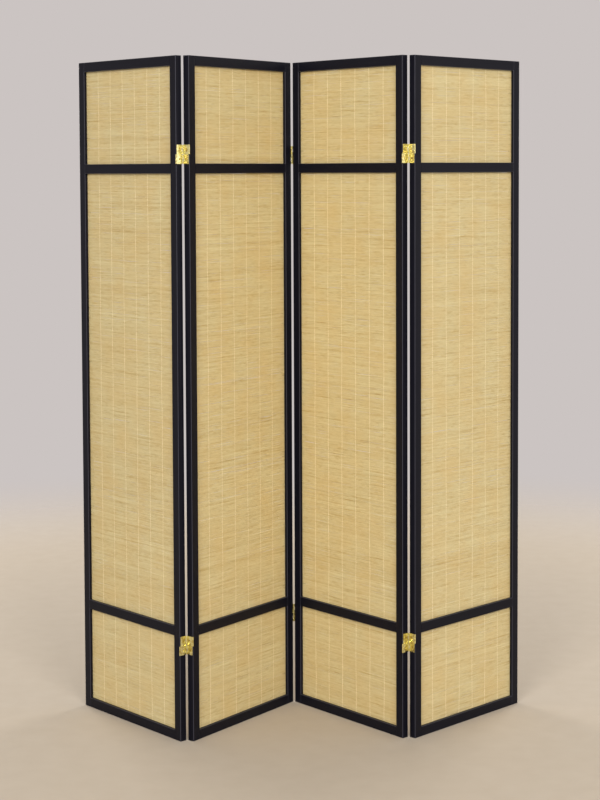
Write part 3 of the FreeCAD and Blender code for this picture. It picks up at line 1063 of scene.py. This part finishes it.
@dataclass
class StitchThreads:
    """The pairs of threads that are woven over and under the sticks of a mat."""

    mat: SlatMat
    # A strand is flattened as it is pulled tight, and lies straight on each stick for a share of the pitch.
    radius: float = 0.66 * MM
    thickness_share: float = 0.55
    flat_share: float = 0.40
    sides: int = 4
    # How far each strand of a pair lies off the line between them, and how far that line wanders
    spread: float = 0.42 * MM
    wander: float = 0.7 * MM
    wander_length: float = 210.0 * MM
    line_phase: float = 2.3
    crease: float = math.radians(100)
    join_share: float = 0.1
    pattern: bpy.types.Object = field(init=False)

    def __post_init__(self) -> None:
        """Model the threads of one mat."""
        self.pattern = self.model()

    def strand(self, x: float, side: float) -> None:
        """In edit mode, draw one strand over one stick and under the next.

        Args:
            x: the strand's place along the panel.
            side: -1 to begin on the front of a stick, 1 to begin behind it.
        """
        reach = self.mat.stick_depth / 2 + self.radius * self.thickness_share
        flat = self.mat.pitch * self.flat_share
        crossing = self.mat.pitch - flat
        foot = (x, side * reach, self.mat.low.z + crossing / 2)
        bpy.ops.mesh.primitive_circle_add(
            vertices=self.sides, radius=self.radius, fill_type="NOTHING", location=foot,
        )
        bpy.ops.transform.resize(value=(1.0, self.thickness_share, 1.0), center_override=foot)
        steps = (
            (0.0, 0.0, flat), (0.0, -2 * side * reach, crossing),
            (0.0, 0.0, flat), (0.0, 2 * side * reach, crossing),
        )
        for step in steps:
            bpy.ops.mesh.extrude_region_move(TRANSFORM_OT_translate={"value": step})

    def model(self) -> bpy.types.Object:
        """Model one turn of a pair of strands, and repeat it up and across the mat.

        Returns:
            The threads on even sticks, in the panel's frame.
        """
        mat = self.mat
        first = mat.clear_left + mat.bay
        # The first circle only gives the object, and goes once edit mode can draw the strands.
        bpy.ops.object.select_all(action="DESELECT")
        bpy.ops.mesh.primitive_circle_add(
            vertices=self.sides, radius=self.radius, fill_type="NOTHING",
            location=(first, 0.0, mat.low.z),
        )
        threads = bpy.context.object
        bpy.ops.object.transform_apply(location=True, rotation=True, scale=True)
        bpy.ops.object.mode_set(mode="EDIT")
        bpy.ops.mesh.select_all(action="SELECT")
        bpy.ops.mesh.delete(type="VERT")
        self.strand(first - self.spread, -1.0)
        bpy.ops.mesh.select_all(action="DESELECT")
        self.strand(first + self.spread, 1.0)
        bpy.ops.object.mode_set(mode="OBJECT")
        repeat(threads, mat.count // 2, (0.0, 0.0, 2 * mat.pitch), self.radius * self.join_share)
        repeat(threads, mat.bays - 1, (mat.bay, 0.0, 0.0))
        bpy.ops.object.mode_set(mode="EDIT")
        bpy.ops.mesh.select_all(action="SELECT")
        bpy.ops.mesh.fill_holes(sides=self.sides)
        bpy.ops.mesh.select_all(action="SELECT")
        bpy.ops.mesh.normals_make_consistent(inside=False)
        bpy.ops.object.mode_set(mode="OBJECT")
        bpy.ops.object.shade_smooth_by_angle(angle=self.crease)
        return threads

    def stitch(self, panel: Panel) -> None:
        """Copy the threads for one panel, and let them follow its sticks.

        Args:
            panel: the panel that holds the mat.
        """
        mat = self.mat
        threads = own_copy(self.pattern, panel.node(f"threads_{mat.opening.value}"))
        points = read_points(threads.data)
        line = np.rint((points[:, 0] - mat.clear_left) / mat.bay)
        swing = math.tau / self.wander_length
        phase = points[:, 2] * swing + line * self.line_phase + panel.number
        points[:, 0] += self.wander * np.sin(phase)
        points[:, 2] += mat.drift(points[:, 0], points[:, 2], panel.number)
        points[:, 2] = np.clip(points[:, 2], mat.low.z, mat.high.z)
        threads.data.vertices.foreach_set("co", points.ravel())
        dress(threads, CottonThread().material())
        panel.settle(threads)
        log.info("%s: %d lines", threads.name, mat.bays - 1)


@dataclass
class HingePair:
    """The two hinges of one fold, with the pins and screws of the panels beside it."""

    fold: int
    plates: tuple[str, ...] = ("leaf_left", "leaf_right", "link_lower", "link_upper")

    def finish_plates(self) -> None:
        """Give the leaves and links their brass."""
        for plate in self.plates:
            node = f"hinge_{self.fold}_{plate}"
            dress(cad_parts[node], PolishedBrass().material())
            log.info("%s: %s", node, PolishedBrass().name)

    @staticmethod
    def finish_fastenings(panel: Panel) -> None:
        """Give a panel's hinge pins and screws their finish.

        Args:
            panel: the panel that carries them.
        """
        dress(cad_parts[panel.node("hinge_pins")], PolishedBrass().material())
        dress(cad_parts[panel.node("hinge_screws")], PlatedScrew().material())
        log.info("%s: pins and screws", panel.body)


@dataclass
class Softbox:
    """A large square lamp that faces the screen and stays out of the picture itself."""

    name: str
    place: tuple[float, float, float]
    side: float
    power: float
    colour: str

    def hang(self, target: Vector) -> None:
        """Add the lamp.

        Args:
            target: the point that it faces.
        """
        aim = (target - Vector(self.place)).to_track_quat("-Z", "Y").to_euler()
        bpy.ops.object.light_add(type="AREA", location=self.place, rotation=aim)
        lamp = bpy.context.object
        lamp.name = self.name
        lamp.data.shape = "SQUARE"
        lamp.data.size = self.side
        lamp.data.energy = self.power
        lamp.data.color = linear(self.colour)[:3]
        lamp.visible_camera = False


@dataclass
class Studio:
    """The floor, the light and the camera round the screen."""

    floor_side: float = 12.0
    backdrop: str = "#CBC4C2"
    ambient: str = "#F2F1F4"
    ambient_level: float = 0.45
    softboxes: tuple[Softbox, ...] = (
        Softbox("left_softbox", (-2.4, -6.8, 3.6), 2.6, 355.0, "#FFFAF4"),
        Softbox("right_softbox", (2.4, -6.8, 3.6), 2.6, 300.0, "#FFFAF4"),
        Softbox("side_softbox", (3.6, -0.9, 1.7), 2.4, 15.0, "#FFFBF5"),
        Softbox("back_left_softbox", (-2.6, 3.8, 2.4), 1.8, 95.0, "#FFFAF4"),
        Softbox("back_right_softbox", (2.6, 3.8, 2.4), 1.8, 95.0, "#FFFAF4"),
    )
    # The camera stands at eye height. Its focal length and the row of its axis are in the picture's pixels.
    image_height: float = 800.0
    focal_pixels: float = 1807.2
    axis_row: float = 274.6
    sensor: float = 36.0
    eye: tuple[float, float, float] = (-0.0100, -4.8249, 1.4885)
    pitch: float = math.radians(3.3)
    turn: float = math.radians(-0.1181)
    roll: float = math.radians(-0.2313)

    def lay_floor(self) -> None:
        """Lay the floor, which isn't part of the screen."""
        bpy.ops.object.select_all(action="DESELECT")
        bpy.ops.mesh.primitive_plane_add(size=self.floor_side)
        floor = bpy.context.object
        floor.name = "studio_floor"
        dress(floor, PaleFloor().material())

    def hang_lights(self) -> None:
        """Hang the softboxes so that they face the middle of the screen."""
        low, high = cad_box
        for softbox in self.softboxes:
            softbox.hang((low + high) / 2)

    def surround(self) -> None:
        """Surround the screen with even light, and show the camera and reflections a pale backdrop."""
        world = bpy.data.worlds.new("studio_surround")
        world.use_nodes = True
        tree = world.node_tree
        tree.nodes.clear()
        ray = add_node(tree, "ShaderNodeLightPath")
        seen = add_node(
            tree, "ShaderNodeMath",
            links={0: ray.outputs["Is Camera Ray"], 1: ray.outputs["Is Glossy Ray"]},
            operation="MAXIMUM",
        )
        seen_or_through = add_node(
            tree, "ShaderNodeMath",
            links={0: seen.outputs["Value"], 1: ray.outputs["Is Transmission Ray"]},
            operation="MAXIMUM",
        )
        light = add_node(
            tree, "ShaderNodeBackground",
            {"Color": linear(self.ambient), "Strength": self.ambient_level},
        )
        backdrop = add_node(
            tree, "ShaderNodeBackground", {"Color": linear(self.backdrop), "Strength": 1.0},
        )
        mixed = add_node(
            tree, "ShaderNodeMixShader",
            links={
                0: seen_or_through.outputs["Value"],
                1: light.outputs["Background"],
                2: backdrop.outputs["Background"],
            },
        )
        add_node(tree, "ShaderNodeOutputWorld", links={"Surface": mixed.outputs["Shader"]})
        bpy.context.scene.world = world

    def place_camera(self) -> None:
        """Set the camera at the photograph's angle."""
        looking = (
            Matrix.Rotation(self.turn, 4, "Z")
            @ Matrix.Rotation(QUARTER_TURN - self.pitch, 4, "X")
            @ Matrix.Rotation(self.roll, 4, "Z")
        )
        bpy.ops.object.camera_add(location=self.eye, rotation=looking.to_euler())
        camera = bpy.context.object
        camera.data.sensor_width = self.sensor
        camera.data.lens = self.focal_pixels / self.image_height * self.sensor
        camera.data.shift_y = (self.axis_row - self.image_height / 2) / self.image_height
        bpy.context.scene.camera = camera


def make_mats(panel: Panel) -> list[tuple[SlatMat, StitchThreads]]:
    """Model the three mats that every panel repeats.

    Args:
        panel: the panel whose openings are measured.

    Returns:
        Each mat with its threads.
    """
    clear_left = panel.local_box("stile_left")[1].x
    clear_right = panel.local_box("stile_right")[0].x
    mats = []
    for opening in Opening:
        low, high = panel.local_box(f"mat_{opening.value}")
        mat = SlatMat(opening, low, high, clear_left, clear_right)
        mats.append((mat, StitchThreads(mat)))
    return mats


def main() -> None:
    """Build, dress and light the screen, and report each piece."""
    logging.basicConfig(level=logging.INFO, format="%(name)s %(message)s")
    bpy.context.scene.view_settings.view_transform = "Standard"
    panels = [Panel(number) for number in PANEL_NUMBERS]
    mats = make_mats(panels[0])
    for panel in panels:
        FrameMembers(panel).finish_members()
        HingePair.finish_fastenings(panel)
        for mat, threads in mats:
            mat.weave(panel)
            threads.stitch(panel)
    for mat, threads in mats:
        bpy.data.objects.remove(mat.pattern)
        bpy.data.objects.remove(threads.pattern)
    for fold in FOLD_NUMBERS:
        HingePair(fold).finish_plates()
    studio = Studio()
    studio.lay_floor()
    studio.hang_lights()
    studio.surround()
    studio.place_camera()


if __name__ == "__main__":
    main()
